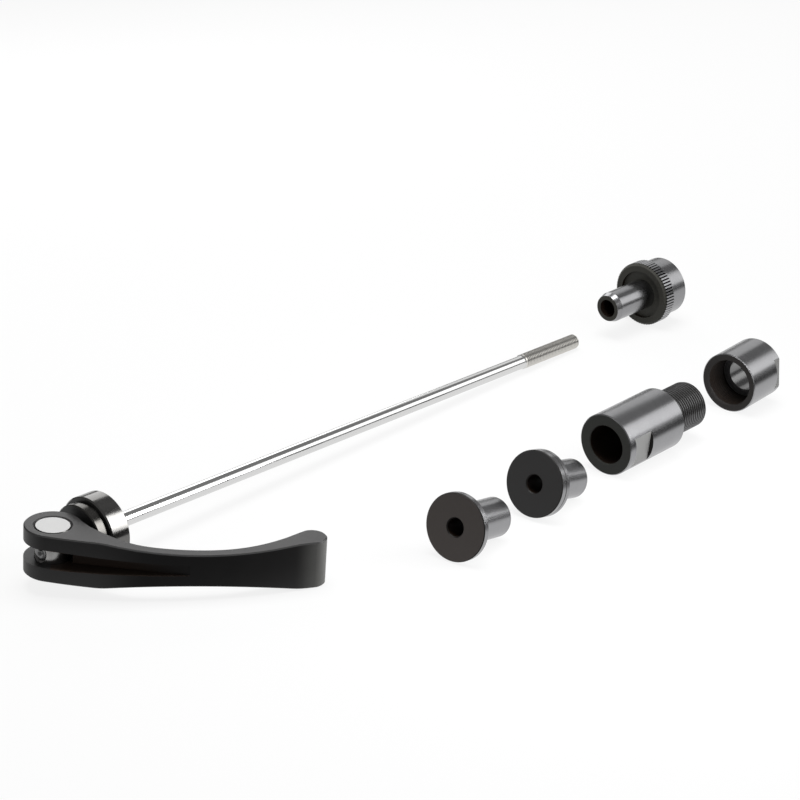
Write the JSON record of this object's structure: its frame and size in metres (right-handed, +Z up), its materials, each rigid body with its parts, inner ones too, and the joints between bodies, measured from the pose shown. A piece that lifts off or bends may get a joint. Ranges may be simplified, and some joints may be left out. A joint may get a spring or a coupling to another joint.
{
  "type": "thru-axle adapter",
  "caption": "Thru-axle adapter kit laid out on a bench: quick-release skewer with cam lever and collar, knurled nut, flanged bushes, threaded axle body and end cap.",
  "frame": {"origin": "centre of the laid-out kit's box, on the bench", "axes": "+X to the right along the row of pieces, +Y away from the viewer, +Z up from the bench"},
  "size_m": [0.2304, 0.2242, 0.0224],
  "materials": {
    "lever_black": "satin",
    "pin_steel": "satin",
    "rod_steel": "polished",
    "collar_black": "gloss",
    "seat_black": "gloss",
    "gunmetal": "turned"
  },
  "bodies": {
    "kit": {"skewer_rod": "rod_steel", "cross_pin": "pin_steel", "knurled_nut": "gunmetal", "thin_flange_bush": "gunmetal", "thick_flange_bush": "gunmetal", "axle_body": "gunmetal", "end_cap": "gunmetal"},
    "lever": {"lever": "lever_black"},
    "collar": {"collar": "collar_black", "cam_seat": "seat_black"}
  },
  "joints": [
    {"name": "lever_swing", "type": "hinge", "parent": "kit", "child": "lever", "pos_m": [-0.10651, -0.10154, 0.01175], "axis": [-0.0602, 0.0013, -0.9982], "range_deg": [-8, 215]},
    {"name": "collar_slide", "type": "slide", "parent": "kit", "child": "collar", "axis": [0.6667, 0.7443, -0.0392], "range_m": [0, 0.1871]}
  ]
}
